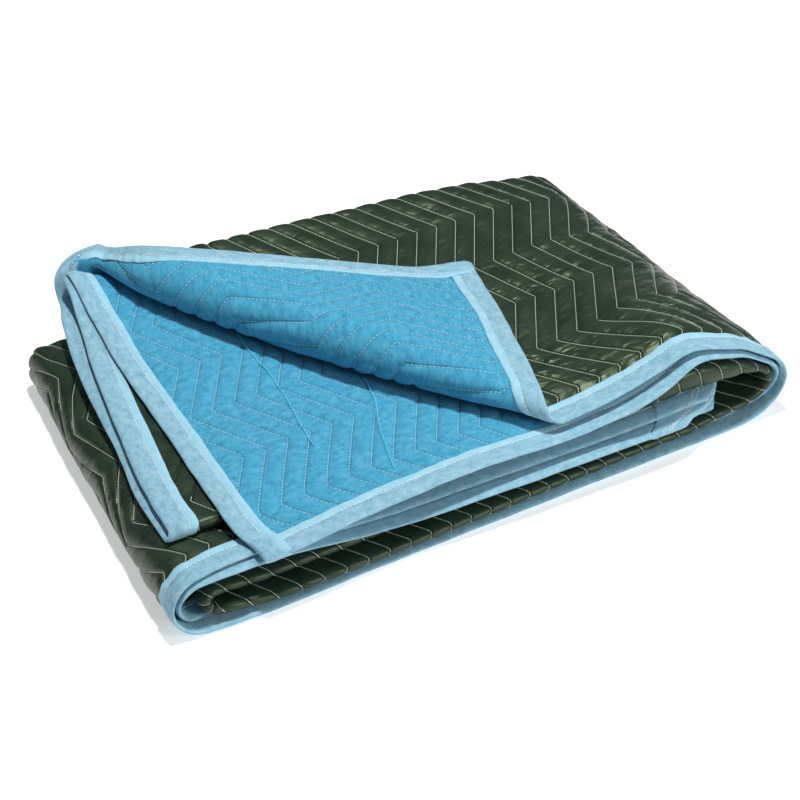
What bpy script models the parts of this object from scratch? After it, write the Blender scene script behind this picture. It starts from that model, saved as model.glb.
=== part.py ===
"""Moving blanket, folded for storage.

One quilted panel, green cloth on one side and blue backing on the other, with a binding tape sewn
round each of its four edges. The panel is folded in four across its width, and the long strip that
makes is folded in three: the bottom run lies on the floor, the middle run is turned over it at the
left, and the top run is turned over both at the right. The outermost quarter of the top run is
peeled back in a loose diagonal roll.

The shape is one map from the flat cloth to its folded place. A point of the cloth is given by its
length along the blanket from the end of the top run, and by a section of its width with a fraction.
Tables are in inches, as the cloth is cut; the meshes are in metres.
"""

import bmesh
import bpy
import numpy as np

INCH = 0.0254

# The flat blanket
CLOTH_LENGTH = 80.0
CLOTH_WIDTH = 72.0
QUARTER_WIDTH = 0.25 * CLOTH_WIDTH
PANEL_THICKNESS = 0.15  # 3.8 mm, quilted
TAPE_WIDTH = 1.0  # what shows of the binding on each side
TAPE_THICKNESS = 0.04  # 1 mm
TAPE_GAP = 0.03  # 0.8 mm, between the tape and the cloth in it
EDGE_THICKNESS = 0.055  # 1.4 mm, the panel where the binding presses it
TAPE_NOSE = 0.05  # how far the tape stands beyond the panel's edge

# The folded strip
LAYER_PITCH = 0.25  # from one layer to the next
RIGHT_TURN_X = 26.1  # where the top and bottom runs meet the right turn
LEFT_TURN_X = 1.1  # where the bottom and middle runs meet the left turn
TOP_END_X = 4.3  # end of the outermost quarter of the top run, before it is peeled back
RIGHT_TURN = (22.0, 27.6)  # lengths along the blanket
LEFT_TURN = (52.6, 56.5)
FLOOR_LAYER_Z = 0.5 * PANEL_THICKNESS
EDGE_RISE = 0.025  # how far the binding lifts the panel's edge off the floor
MIDDLE_RUN_Z = FLOOR_LAYER_Z + 7 * LAYER_PITCH + 0.12
TOP_RUN_Z = FLOOR_LAYER_Z + 11 * LAYER_PITCH + 0.15
FRAME_CENTRE = (14.18, 9.30)  # middle of the folded blanket on the floor

# The edges of the strip: distances from the front, against the length along the blanket
EDGES = {
    "length": (0, 4, 8, 12, 15, 18, 21, 24.5, 28, 36, 46, 51, 53.5, 55.5, 58, 62, 68, 80),
    "side_1": (0.8, 0.8, 0.8, 0.8, 0.8, 0.8, 0.8, 0.6, 0.3, 0.1, -0.2, -0.4, -0.3, 0.0, 0.4, 0.6, 0.5, 0.4),
    "side_2": (-0.2, 0, 0.2, 0.35, 0.3, 0.2, 0.55, 0.7, 1.0, 2.0, 2.0, 1.2, 0.3, 0.1, 0.1, 0.2, -0.1, -0.2),
    "front_fold": (3.0, 3.0, 2.8, 2.0, 1.3, 0.9, 0.8, 0.8, 0.7, 0.5, 0.4, 0.3, 0.3, 0.4, 0.5, 0.6, 0.7, 0.8),
    "back_fold": (19.0, 19.0, 18.9, 18.7, 18.5, 18.3, 18.0, 17.7, 17.5, 17.5, 17.5, 17.5, 17.5, 17.5, 17.6,
                  17.6, 17.6, 17.6),
}
BACK_FOLD_INSET = 0.55  # the inner back fold lies this far inside the outer one
FRONT_FOLD_RADIUS = 0.2
END_ROOM = 0.14  # the innermost layer hangs this much lower at the end of the top run

# How far the top run is lifted above the tight stack: a row for each distance from the front
LIFT_X = (1.5, 4, 8, 13, 18, 20.5, 22.3, 23.8, 26, 28)
LIFT = {
    1.0: (0.40, 0.30, 0.20, 0.25, 0.05, 0.40, 0.95, 1.50, 1.00, 0.40),
    2.4: (0.45, 0.35, 0.25, 0.20, 0.15, 0.45, 1.00, 1.60, 1.10, 0.45),
    5.6: (0.50, 0.35, 0.25, 0.10, 0.00, 0.10, 0.50, 1.00, 0.95, 0.40),
    9.0: (0.60, 0.40, 0.25, 0.05, 0.00, 0.00, 0.10, 0.40, 0.50, 0.25),
    12.5: (0.75, 0.50, 0.30, 0.10, 0.00, 0.00, 0.20, 0.40, 0.25, 0.15),
    16.0: (1.00, 0.75, 0.55, 0.40, 0.35, 0.35, 0.40, 0.45, 0.30, 0.20),
    19.2: (1.60, 1.35, 1.10, 0.85, 0.65, 0.55, 0.45, 0.40, 0.30, 0.20),
}
FRONT_SAG = 0.75  # share of that lift which the innermost layer loses at the front fold
FRONT_SAG_X = (9.0, 14.0)
FRONT_SAG_Y = (2.0, 8.0)

# How far the middle run is lifted, in the same way
MIDDLE_LIFT_X = (0, 2, 5, 8, 14, 21, 25)
MIDDLE_LIFT = {
    0.5: (0.40, 0.50, 0.35, 0.00, 0.00, 0.05, 0.20),
    4.0: (0.25, 0.30, 0.10, 0.00, 0.00, 0.00, 0.10),
    12.0: (0.10, 0.10, 0.05, 0.00, 0.00, 0.00, 0.00),
    17.5: (0.10, 0.10, 0.05, 0.00, 0.00, 0.00, 0.00),
}

# Room between the outermost layer of the top run and the next, along the run
TOP_ROOM = {"x": (4, 12, 17.5, 20, 22.5, 24.5, 28), "room": (0.1, 0.1, 0.4, 0.35, 0.3, 0.12, 0.1)}

# How far the right turn reaches, from its start, against the distance from the front
TURN_REACH = {"y": (0.5, 6, 12, 17.5), "reach": (2.25, 1.9, 1.75, 1.35)}

# How far the inner layers of the top run stick out beyond the outermost at their end
FAN = {
    "y": (0, 1.5, 3, 5.4, 8, 13, 17, 18.7),
    "layer_2": (0.6, 1.1, 1.2, 1.2, 1.1, 1.05, 0.9, 0.6),
    "layer_3": (3.3, 3.3, 3.3, 3.2, 2.9, 2.2, 1.4, 0.9),
    "layer_4": (3.5, 3.5, 3.5, 3.5, 3.15, 2.7, 1.9, 1.1),
}

# The peeled-back corner: a roll along a straight line across the outermost quarter
FOLD_LINE = ((4.97, 19.3), (16.97, 1.37))
ROLL = {
    "along": (-1, 1, 3, 6, 10, 15, 19, 22),
    "radius": (0.80, 0.90, 1.00, 1.15, 1.15, 0.95, 0.75, 0.68),
    "slope": (0.08, 0.08, 0.10, 0.14, 0.20, 0.28, 0.30, 0.20),
}
ROLL_LANDING = 4.0  # radius of the hollow where the flap comes down flat
FLAP_CLEARANCE = 0.4
BACK_LOOP = 1.2  # width taken up by the back fold
PEEL_FADE = (12.5, 18.9)  # the peel dies out between these distances from the side

# Where the cloth is divided into faces
COLUMNS = (0, 1, 2, 3, 4.1, 5.3, 6.5, 7.7, 8.8, 9.6, 10.2, 10.8, 11.3, 11.8, 12.3, 12.8, 13.4, 14.6, 15.8, 17,
           18.1, 19.2, 20.3, 21.3, 22.2, 23.1, 24, 24.8, 25.5, 26.2, 26.9, 27.6, 31, 41, 51, 52.6, 53.3, 54, 54.6,
           55.2, 55.8, 56.5, 58, 60.5, 64, 71, 79, 80)
QUARTER_1, BACK_OUTER, QUARTER_2, FRONT_FOLD, QUARTER_3, BACK_INNER, QUARTER_4 = range(7)
QUARTER_1_ROWS = (0, 1, 2.4, 4.1, 5.8, 7.5, 9.2, 10.8, 12.2, 13.3, 14.2, 15.1, 16, 17)
QUARTER_4_ROWS = (13.3, 7.1, 2.4, 1, 0)
TURN_ROWS = {BACK_OUTER: 4, FRONT_FOLD: 3, BACK_INNER: 3}
INNER_ROWS = {QUARTER_2: (0, 0.27, 0.62, 0.9), QUARTER_3: (0, 0.1, 0.39, 0.75)}

MATERIALS = {
    "quilted_cloth": {"colour": (0.025, 0.042, 0.028, 1), "roughness": 0.45},
    "binding_tape": {"colour": (0.32, 0.58, 0.74, 1), "roughness": 0.9},
}


def smooth_curve(at, knots, values):
    """Read a smooth curve through a short table; values has a row for each knot."""
    knots = np.asarray(knots, float)
    values = np.asarray(values, float)
    at = np.clip(at, knots[0], knots[-1])
    left = np.clip(np.searchsorted(knots, at, side="right") - 1, 0, len(knots) - 2)
    step = np.diff(knots)
    column = np.arange(values.shape[1]) if values.ndim == 2 else None
    slope = np.diff(values, axis=0) / (step if values.ndim == 1 else step[:, None])
    tangent = np.zeros_like(values)
    tangent[1:-1] = 0.5 * (slope[1:] + slope[:-1])

    def pick(table, row):
        return table[row] if column is None else table[row, column]

    t = (at - knots[left]) / step[left]
    return (
        (2 * t**3 - 3 * t**2 + 1) * pick(values, left)
        + (t**3 - 2 * t**2 + t) * step[left] * pick(tangent, left)
        + (3 * t**2 - 2 * t**3) * pick(values, left + 1)
        + (t**3 - t**2) * step[left] * pick(tangent, left + 1)
    )


def smooth_field(x, y, x_knots, rows):
    """Read a smooth surface through a table with a row for each y."""
    along_x = np.stack([smooth_curve(x, x_knots, row) for row in rows.values()])
    return smooth_curve(y, tuple(rows), along_x)


def smoothstep(value, start, end):
    """Rise from 0 to 1 between start and end."""
    t = np.clip((value - start) / (end - start), 0, 1)
    return t * t * (3 - 2 * t)


def top_lift(x, y, depth, share=1.0):
    """Lift of the top run, which its innermost layer partly loses near the front fold."""
    lift = smooth_field(x, y, LIFT_X, LIFT)
    sag = smoothstep(depth, LAYER_PITCH, 3 * LAYER_PITCH) * smoothstep(x, *FRONT_SAG_X)
    sag *= 1 - smoothstep(y, *FRONT_SAG_Y)
    return lift * (1 - FRONT_SAG * sag * share)


def middle_lift(x, y, depth):
    """Lift of the middle run, which its two inner layers don't share."""
    lift = smooth_field(x, y, MIDDLE_LIFT_X, MIDDLE_LIFT)
    return lift * (1 - smoothstep(depth, LAYER_PITCH, 2 * LAYER_PITCH))


def top_height(x, depth):
    """Height of the top run's layers in the tight stack, with the room under the outermost."""
    room = smooth_curve(x, TOP_ROOM["x"], TOP_ROOM["room"])
    return TOP_RUN_Z - depth + room * np.clip(1 - depth / LAYER_PITCH, 0, 1)


def fan_out(depth, y):
    """How far a layer sticks out beyond the outermost one at the end of the top run."""
    layer = np.clip(depth / LAYER_PITCH, 0, 3)
    second, third, fourth = (smooth_curve(y, FAN["y"], FAN[key]) for key in ("layer_2", "layer_3", "layer_4"))
    inner = np.where(layer < 2, second + (layer - 1) * (third - second), third + (layer - 2) * (fourth - third))
    return np.where(layer < 1, layer * second, inner)


def cross_section(length, section, fraction):
    """Distance from the front and depth under the outermost layer, for points of the width."""
    side_1, side_2, front, back = (
        smooth_curve(length, EDGES["length"], EDGES[key])
        for key in ("side_1", "side_2", "front_fold", "back_fold")
    )
    pitch = LAYER_PITCH
    fourth = 3 * pitch + END_ROOM * (1 - smoothstep(length, 0, 5))
    outer, inner = 0.5 * fourth, 0.5 * pitch
    back_outer = back - outer
    back_inner = back - BACK_FOLD_INSET - inner
    turn = np.pi * fraction
    front_in = front + FRONT_FOLD_RADIUS
    y = np.stack([
        side_1 + fraction * (back_outer - side_1),
        back_outer + outer * np.sin(turn),
        back_outer - fraction * (back_outer - front_in),
        front_in - FRONT_FOLD_RADIUS * np.sin(turn),
        front_in + fraction * (back_inner - front_in),
        back_inner + inner * np.sin(turn),
        back_inner - fraction * (back_inner - side_2),
    ])
    depth = np.stack([
        0 * fraction,
        outer - outer * np.cos(turn),
        fourth,
        0.5 * (2 * pitch + fourth) + 0.5 * (fourth - 2 * pitch) * np.cos(turn),
        2 * pitch + 0 * fraction,
        1.5 * pitch + inner * np.cos(turn),
        pitch + 0 * fraction,
    ])
    point = np.arange(len(length))
    return y[section, point], depth[section, point]


def roll_over(beyond, radius, slope):
    """Profile of the peeled corner: where a point goes that lies this far beyond the fold line."""
    full = np.pi + slope
    landing = ROLL_LANDING * (1 - np.cos(slope))
    drop = np.maximum(radius * (1 + np.cos(slope)) - landing - FLAP_CLEARANCE, 0)
    straight = drop / np.sin(slope)
    on_roll = np.clip(beyond / radius, 0, full)
    past = np.maximum(beyond - radius * full, 0)
    on_straight = np.minimum(past, straight)
    on_landing = np.clip((past - straight) / ROLL_LANDING, 0, slope)
    flat = np.maximum(past - straight - ROLL_LANDING * slope, 0)
    out = radius * np.sin(on_roll) - on_straight * np.cos(slope)
    out -= ROLL_LANDING * (np.sin(slope) - np.sin(slope - on_landing)) + flat
    up = radius * (1 - np.cos(on_roll)) - on_straight * np.sin(slope)
    up -= ROLL_LANDING * (np.cos(slope - on_landing) - np.cos(slope))
    return out, up


def peel_back(x, y, depth, section, fraction):
    """Places in the top run, with the corner of the outermost quarter rolled back."""
    start, end = (np.array(corner) for corner in FOLD_LINE)
    along_line = (end - start) / np.linalg.norm(end - start)
    outward = np.array([along_line[1], -along_line[0]])
    rel_x, rel_y = x - start[0], y - start[1]
    along = rel_x * along_line[0] + rel_y * along_line[1]
    beyond = rel_x * outward[0] + rel_y * outward[1]
    width = np.where(section == QUARTER_1, fraction, 1 + fraction * (BACK_LOOP / QUARTER_WIDTH)) * QUARTER_WIDTH
    share = np.where(section <= BACK_OUTER, 1 - smoothstep(width, *PEEL_FADE), 0.0)
    beyond = np.maximum(beyond * share, 0)
    radius = smooth_curve(along, ROLL["along"], ROLL["radius"])
    slope = smooth_curve(along, ROLL["along"], ROLL["slope"])
    out, up = roll_over(beyond, radius, slope)
    x = x - outward[0] * (beyond - out)
    y = y - outward[1] * (beyond - out)
    return x, y, top_height(x, depth) + top_lift(x, y, depth) + up


def fold(length, section, fraction):
    """Folded place, in inches, of points of the cloth; all three are flat arrays."""
    y, depth = cross_section(length, section, fraction)
    fan = fan_out(depth, y)
    rise = EDGE_RISE * (1 - smoothstep(section + fraction, 1 / QUARTER_WIDTH, 2.4 / QUARTER_WIDTH))
    lower = FLOOR_LAYER_Z + depth + rise

    # top run
    reach = RIGHT_TURN_X - TOP_END_X + fan
    top = peel_back(RIGHT_TURN_X - reach * (1 - length / RIGHT_TURN[0]), y, depth, section, fraction)

    # right turn, an upright half ellipse that carries its share of the lift
    angle = np.pi * np.clip((length - RIGHT_TURN[0]) / (RIGHT_TURN[1] - RIGHT_TURN[0]), 0, 1)
    reach = smooth_curve(y, TURN_REACH["y"], TURN_REACH["reach"]) - depth
    upper = top_height(np.full_like(y, RIGHT_TURN_X), depth)
    x = RIGHT_TURN_X + reach * np.sin(angle)
    z = 0.5 * (upper + lower) + 0.5 * (upper - lower) * np.cos(angle)
    right = (x, y, z + top_lift(x, y, depth, np.maximum(np.cos(angle), 0)) * np.cos(0.5 * angle) ** 2)

    # bottom run
    across = (length - RIGHT_TURN[1]) / (LEFT_TURN[0] - RIGHT_TURN[1])
    bottom = (RIGHT_TURN_X - across * (RIGHT_TURN_X - LEFT_TURN_X), y, lower)

    # left turn
    angle = np.pi * np.clip((length - LEFT_TURN[0]) / (LEFT_TURN[1] - LEFT_TURN[0]), 0, 1)
    upper = MIDDLE_RUN_Z - depth
    x = LEFT_TURN_X - LEFT_TURN_X * (upper - lower) / (MIDDLE_RUN_Z - FLOOR_LAYER_Z) * np.sin(angle)
    z = 0.5 * (upper + lower) - 0.5 * (upper - lower) * np.cos(angle)
    edge_lift = middle_lift(np.full_like(y, LEFT_TURN_X), y, depth)
    left = (x, y, z + edge_lift * np.sin(0.5 * angle) ** 2)

    # middle run
    x = LEFT_TURN_X + length - LEFT_TURN[1]
    middle = (x, y, MIDDLE_RUN_Z - depth + middle_lift(x, y, depth))

    run = [length < bound for bound in (*RIGHT_TURN, *LEFT_TURN)]
    return np.stack([np.select(run, part[:4], part[4]) for part in zip(top, right, bottom, left, middle)], axis=-1)


def to_metres(points):
    """From inches about the strip's front left corner to metres about the frame's origin."""
    return (points - np.array([*FRAME_CENTRE, 0])) * INCH


def width_rows():
    """The rows that divide the width, as sections and fractions."""
    rows = [(QUARTER_1, row / QUARTER_WIDTH) for row in QUARTER_1_ROWS]
    for section in (BACK_OUTER, QUARTER_2, FRONT_FOLD, QUARTER_3, BACK_INNER):
        if section in TURN_ROWS:
            rows += [(section, step / TURN_ROWS[section]) for step in range(TURN_ROWS[section])]
        else:
            rows += [(section, fraction) for fraction in INNER_ROWS[section]]
    rows.append((QUARTER_4, 0))
    rows += [(QUARTER_4, 1 - row / QUARTER_WIDTH) for row in QUARTER_4_ROWS]
    sections, fractions = zip(*rows)
    return np.array(sections), np.array(fractions, float)


def cloth_grid():
    """The middle of the panel's thickness: places and normals for each column and row."""
    sections, fractions = width_rows()
    length = np.repeat(np.array(COLUMNS, float), len(sections))
    points = fold(length, np.tile(sections, len(COLUMNS)), np.tile(fractions, len(COLUMNS)))
    points = to_metres(points).reshape(len(COLUMNS), len(sections), 3)
    along, across = np.diff(points, axis=0), np.diff(points, axis=1)
    faces = np.cross(along[:, :-1] + along[:, 1:], across[:-1] + across[1:])
    faces /= np.linalg.norm(faces, axis=2, keepdims=True)
    padded = np.pad(faces, ((1, 1), (1, 1), (0, 0)))
    normals = padded[:-1, :-1] + padded[1:, :-1] + padded[:-1, 1:] + padded[1:, 1:]
    normals /= np.linalg.norm(normals, axis=2, keepdims=True)
    return points, normals


def sheet_object(name, points, rising, thickness, material, collection):
    """A flat grid, each square halved along one diagonal, moved to its folded place and made solid."""
    columns, rows = points.shape[:2]
    mesh = bpy.data.meshes.new(name)
    sheet = bmesh.new()
    bmesh.ops.create_grid(sheet, x_segments=columns - 1, y_segments=rows - 1, size=1.0)
    place = {}
    for vert in sheet.verts:
        place[vert] = (round((vert.co.x + 1) / 2 * (columns - 1)), round((vert.co.y + 1) / 2 * (rows - 1)))
    for face in list(sheet.faces):
        corners = sorted(face.verts, key=lambda vert: place[vert])
        first, last = (0, 3) if rising[place[corners[0]][1]] else (1, 2)
        bmesh.utils.face_split(face, corners[first], corners[last])
    for vert, (column, row) in place.items():
        vert.co = points[column, row]
    sheet.to_mesh(mesh)
    sheet.free()
    mesh.shade_smooth()
    mesh.materials.append(material)
    sheet_item = bpy.data.objects.new(name, mesh)
    collection.objects.link(sheet_item)
    solidify = sheet_item.modifiers.new("thickness", "SOLIDIFY")
    solidify.thickness = thickness
    solidify.offset = 0.0
    return sheet_item


def quilted_panel(points, material, collection):
    """The panel, pressed thin where the binding holds it."""
    columns, rows = points.shape[:2]
    panel = sheet_object("quilted_panel", points, [False] * rows, PANEL_THICKNESS * INCH, material, collection)
    pressed = EDGE_THICKNESS / PANEL_THICKNESS
    thickness = panel.vertex_groups.new(name="full_thickness")
    home = {tuple(np.float32(points[column, row])): (column, row) for column in range(columns) for row in range(rows)}
    for vert in panel.data.vertices:
        column, row = home[tuple(np.float32(vert.co))]
        at_edge = column < 2 or row < 2 or column > columns - 3 or row > rows - 3
        thickness.add([vert.index], pressed if at_edge else 1.0, "REPLACE")
    panel.modifiers["thickness"].vertex_group = thickness.name
    return panel


def binding(name, edge, inside, rising, width, material, collection):
    """A tape folded over an edge: down one side of the cloth, round the edge and up the other."""
    stand_off = (0.5 * EDGE_THICKNESS + TAPE_GAP + 0.5 * TAPE_THICKNESS) * INCH
    outward = edge[0] - inside[0]
    outward /= np.linalg.norm(outward, axis=1, keepdims=True)
    nose = edge[0] + TAPE_NOSE * INCH * outward
    hem = edge[0] + width * (inside[0] - edge[0])
    hem_normal = edge[1] + width * (inside[1] - edge[1])
    hem_normal /= np.linalg.norm(hem_normal, axis=1, keepdims=True)
    profile = [
        hem + stand_off * hem_normal,
        nose + stand_off * edge[1],
        nose - stand_off * edge[1],
        hem - stand_off * hem_normal,
    ]
    points = np.stack(profile, axis=1)
    return sheet_object(name, points, (rising, rising, not rising), TAPE_THICKNESS * INCH, material, collection)


def cloth_material(name, look):
    """A plain cloth finish."""
    material = bpy.data.materials.new(name)
    material.use_nodes = True
    shader = material.node_tree.nodes["Principled BSDF"]
    shader.inputs["Base Color"].default_value = look["colour"]
    shader.inputs["Roughness"].default_value = look["roughness"]
    shader.inputs["Metallic"].default_value = 0.0
    return material


def main():
    for item in list(bpy.data.objects):
        bpy.data.objects.remove(item, do_unlink=True)
    blanket = bpy.data.collections.new("moving_blanket")
    bpy.context.scene.collection.children.link(blanket)
    cloth, tape = (cloth_material(name, look) for name, look in MATERIALS.items())
    points, normals = cloth_grid()
    quilted_panel(points, cloth, blanket)

    def side(row):
        return points[1:-1, row], normals[1:-1, row]

    def end(column):
        return points[column], normals[column]

    end_width = 1 - 1.5 * TAPE_GAP
    binding("side_binding_1", side(0), side(1), True, 1.0, tape, blanket)
    binding("side_binding_2", side(-1), side(-2), False, 1.0, tape, blanket)
    binding("end_binding_1", end(0), end(1), True, end_width, tape, blanket)
    binding("end_binding_2", end(-1), end(-2), False, end_width, tape, blanket)


if __name__ == "__main__":
    main()
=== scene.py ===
"""Moving blanket, folded: the quilted cloth, its bindings, its stitching, and the studio round it.

The cloth is laid out flat in inches: s runs along the blanket from the end of the top run, and w across
it from the side at the front of the outermost quarter. One map folds it, and every piece of cloth,
tape and thread is placed through that map.
"""

import math

import bpy
import numpy as np
from mathutils import Matrix, Vector


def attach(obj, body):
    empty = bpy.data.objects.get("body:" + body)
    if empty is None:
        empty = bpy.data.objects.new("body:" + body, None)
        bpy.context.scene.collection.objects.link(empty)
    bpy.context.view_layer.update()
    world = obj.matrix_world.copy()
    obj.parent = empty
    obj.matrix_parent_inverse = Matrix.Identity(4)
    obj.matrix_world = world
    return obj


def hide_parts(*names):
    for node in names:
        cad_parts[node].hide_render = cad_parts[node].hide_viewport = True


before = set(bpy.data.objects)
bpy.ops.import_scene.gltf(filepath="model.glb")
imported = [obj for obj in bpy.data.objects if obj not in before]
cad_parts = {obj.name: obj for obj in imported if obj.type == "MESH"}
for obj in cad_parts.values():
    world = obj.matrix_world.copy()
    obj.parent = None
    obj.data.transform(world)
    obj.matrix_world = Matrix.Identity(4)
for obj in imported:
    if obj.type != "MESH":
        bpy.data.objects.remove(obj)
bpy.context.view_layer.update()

INCH = 0.0254

# The flat blanket
CLOTH_LENGTH = 80.0
CLOTH_WIDTH = 72.0
QUARTER_WIDTH = 0.25 * CLOTH_WIDTH

# The folded strip
LAYER_PITCH = 0.25  # from one layer to the next
RIGHT_TURN_X = 26.1  # where the top and bottom runs meet the right turn
LEFT_TURN_X = 1.1  # where the bottom and middle runs meet the left turn
TOP_END_X = 3.46  # end of the outermost quarter of the top run, before it is peeled back
MIDDLE_END_X = 24.6  # end of the middle run
RIGHT_TURN = (22.4, 28.6)  # lengths along the blanket
LEFT_TURN = (53.3, 57.0)
FLOOR_LAYER_Z = 0.12
EDGE_RISE = 0.025  # how far the binding lifts the panel's edge off the floor
MIDDLE_RUN_Z = FLOOR_LAYER_Z + 7 * LAYER_PITCH + 0.08
TOP_RUN_Z = FLOOR_LAYER_Z + 11 * LAYER_PITCH + 0.105
FRAME_CENTRE = (14.18, 9.30)  # middle of the folded blanket on the floor

# The edges of the strip: distances from the front, against the length along the blanket
EDGES = {
    "length": (0, 4, 8, 12, 15, 18, 21, 24.5, 28, 36, 46, 51, 53.5, 55.5, 58, 62, 68, 80),
    "side_1": (0.73, 0.53, 0.67, 0.8, 0.8, 0.8, 0.8, 0.6, 0.3,
               0.1, -0.2, -0.4, -0.3, 0.0, 0.4, 0.6, 0.5, 0.4),
    "side_2": (-0.35, -0.1, 0.15, 0.3, 0.3, 0.2, 0.55, 0.7, 1.0,
               2.0, 2.0, 1.2, 0.3, 0.1, 0.1, 0.2, -0.1, -0.2),
    "front_fold": (2.5, 2.6, 2.6, 2.0, 1.3, 0.9, 0.8, 0.8, 0.7,
                   0.4, -0.1, -0.2, -0.1, 0.15, 0.35, 0.5, 0.65, 0.8),
    "back_fold": (19.0, 19.0, 18.9, 18.7, 18.5, 18.3, 18.0, 17.7, 17.5,
                  17.5, 17.5, 17.5, 17.5, 17.5, 17.6, 17.6, 17.6, 17.6),
}
BACK_FOLD_INSET = 0.38  # the inner back fold lies this far inside the outer one
FRONT_FOLD_RADIUS = 0.2
END_ROOM = 0.14  # the innermost layer hangs this much lower at the end of the top run

# The end of the middle run is askew near the front: how far it sticks out and stands up there
SKEW = {
    "y": (-0.2, 0.4, 1.8, 4),
    "out": (-1.5, 0.05, 1.1, 1.4),
    "up": (-0.1, 0.0, 0.15, 0.1),
    "s": (75.5, 80),
}

# The inner layers turn on the left this much before the outer ones, fading back from the front
EARLY_TURN = {"by": 0.6, "y": (1, 6)}

# Near the front the two inner layers settle on the outermost, past the edge of the layer between
SETTLE = {"bottom": 0.22, "middle": 0.20, "y": (0.6, 2.1), "fade": 2.5}

# How far the top run is lifted above the tight stack: a row for each distance from the front
LIFT_X = (1.5, 4, 8, 13, 18, 20.5, 22.3, 23.8, 26, 28)
LIFT = {
    1.0: (0.40, 0.30, 0.20, 0.25, 0.05, 0.40, 0.95, 1.50, 1.00, 0.40),
    2.4: (0.45, 0.35, 0.25, 0.20, 0.15, 0.45, 1.00, 1.60, 1.10, 0.45),
    5.6: (0.50, 0.35, 0.25, 0.10, 0.00, 0.10, 0.50, 1.00, 0.95, 0.40),
    9.0: (0.60, 0.40, 0.25, 0.05, 0.00, 0.00, 0.10, 0.40, 0.50, 0.25),
    12.5: (0.75, 0.50, 0.30, 0.10, 0.00, 0.00, 0.20, 0.40, 0.25, 0.15),
    16.0: (1.00, 0.75, 0.55, 0.40, 0.35, 0.35, 0.40, 0.45, 0.30, 0.20),
    19.2: (1.30, 1.15, 1.00, 0.85, 0.65, 0.55, 0.45, 0.40, 0.30, 0.20),
}
FRONT_SAG = 0.75  # share of that lift which the innermost layer loses at the front fold
FRONT_SAG_X = (9.0, 14.0)
FRONT_SAG_Y = (2.0, 8.0)

# How far the middle run is lifted, in the same way
MIDDLE_LIFT_X = (0, 2, 5, 8, 14, 21, 25)
MIDDLE_LIFT = {
    0.5: (0.40, 0.50, 0.35, 0.00, 0.00, 0.05, 0.20),
    4.0: (0.25, 0.30, 0.10, 0.00, 0.00, 0.00, 0.10),
    12.0: (0.10, 0.10, 0.05, 0.00, 0.00, 0.00, 0.00),
    17.5: (0.10, 0.10, 0.05, 0.00, 0.00, 0.00, 0.00),
}

# Room between the outermost layer of the top run and the next, along the run
TOP_ROOM = {"x": (4, 12, 17.5, 20, 22.5, 24.5, 28), "room": (0.1, 0.1, 0.28, 0.35, 0.3, 0.12, 0.1)}

# The innermost quarter's corner hangs over the middle run: how far, and how it fades along and across
DROOP = {"drop": 0.42, "x": (3.0, 9.0), "y": (-0.3, 3.6)}

# The inner layers' back corner stands up toward the mouth of the fold
PERK = {"rise": 0.75, "x": (3.2, 5.2), "y": (16.6, 18.4)}

# The outer back fold swells up and out where the peeled corner pulls on it
SWELL = {"up": 0.62, "out": 0.42, "across": (-0.3, 1.05), "s": (0.3, 5)}

# How far the two turns reach, from their starts, against the distance from the front
TURN_REACH = {"y": (0.5, 6, 12, 17.5), "right": (2.65, 2.2, 2.1, 1.6), "left": (1.3, 1.1, 0.85, 0.55)}

# How far the inner layers of the top run stick out beyond the outermost at their end
FAN = {
    "y": (0, 1.5, 3, 5.4, 8, 13, 17, 18.7),
    "layer_1": (0, 0, 0, 0, 0, 0, 0.12, 0.15),
    "layer_2": (-0.2, 0.25, 0.35, 0.35, 0.3, 0.3, 0.15, 0.3),
    "layer_3": (2.45, 2.45, 2.45, 2.35, 2.05, 1.35, 0.6, 0.5),
    "layer_4": (2.65, 2.65, 2.65, 2.65, 2.3, 1.9, 1.25, 0.8),
}

# The peeled-back corner: a roll along a straight line across the outermost quarter
FOLD_LINE = ((4.65, 19.22), (16.82, 1.88))
ROLL = {
    "along": (-1, 0.3, 3, 8, 14, 18, 20, 23),
    "radius": (0.08, 0.24, 0.85, 1.00, 1.00, 0.76, 0.58, 0.40),
    "slope": (0.11, 0.10, 0.08, 0.19, 0.25, 0.20, 0.14, 0.12),
}
ROLL_LANDING = 4.0  # radius of the hollow where the flap comes down flat
FLAP_CLEARANCE = 0.4
BACK_LOOP = 1.2  # width taken up by the back fold

# The sections of the width, from the outermost quarter to the one under it
QUARTER_1, BACK_OUTER, QUARTER_2, FRONT_FOLD, QUARTER_3, BACK_INNER, QUARTER_4 = range(7)
INNER_LOOP = 0.6  # width taken up by the front fold, and by the inner back fold

# The quilting: zigzag seams an inch apart
SEAM_PITCH = 1.0
ZIG_DEPTH = 1.94
ZIG_TURNS = {"w": (-1.96, 14.69, 60.0, 73.0), "turn": (0, 5, 19, 23)}  # where the zigzag turns
SEAM_DRIFT = {"w": (8.03, 11.36, 18, 24), "s": (0.55, 1.35, 1.35, 1.2)}  # the seams lie a little askew
SEAM_SLACK = 0.4  # the seams gain this much on the way along the bottom run
SEAM_HALF_THICKNESS = 0.032
SLOPE_STEP = 0.03  # either way from a point, to find which way the cloth faces
PUFF = {"green": 0.098, "blue": 0.105}
PRESSED = {"w": (33, 38.5), "share": 0.45}  # the padding is pressed thin in the front fold
CRUMPLE = {"s": (21.5, 29.5), "w": (28, 39)}  # the inner quarters are crumpled in the right turn

# The bindings
TAPE_REACH = 1.0  # how far a tape covers the cloth
TAPE_HEM = 1.03  # from the edge of the cloth to a tape's hem
TOPSTITCH_INSET = 0.71
TOPSTITCH_LIFT = 0.08  # above the middle of the cloth
SEAM_LIFT = 0.008  # of a seam's thread above its face


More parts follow.
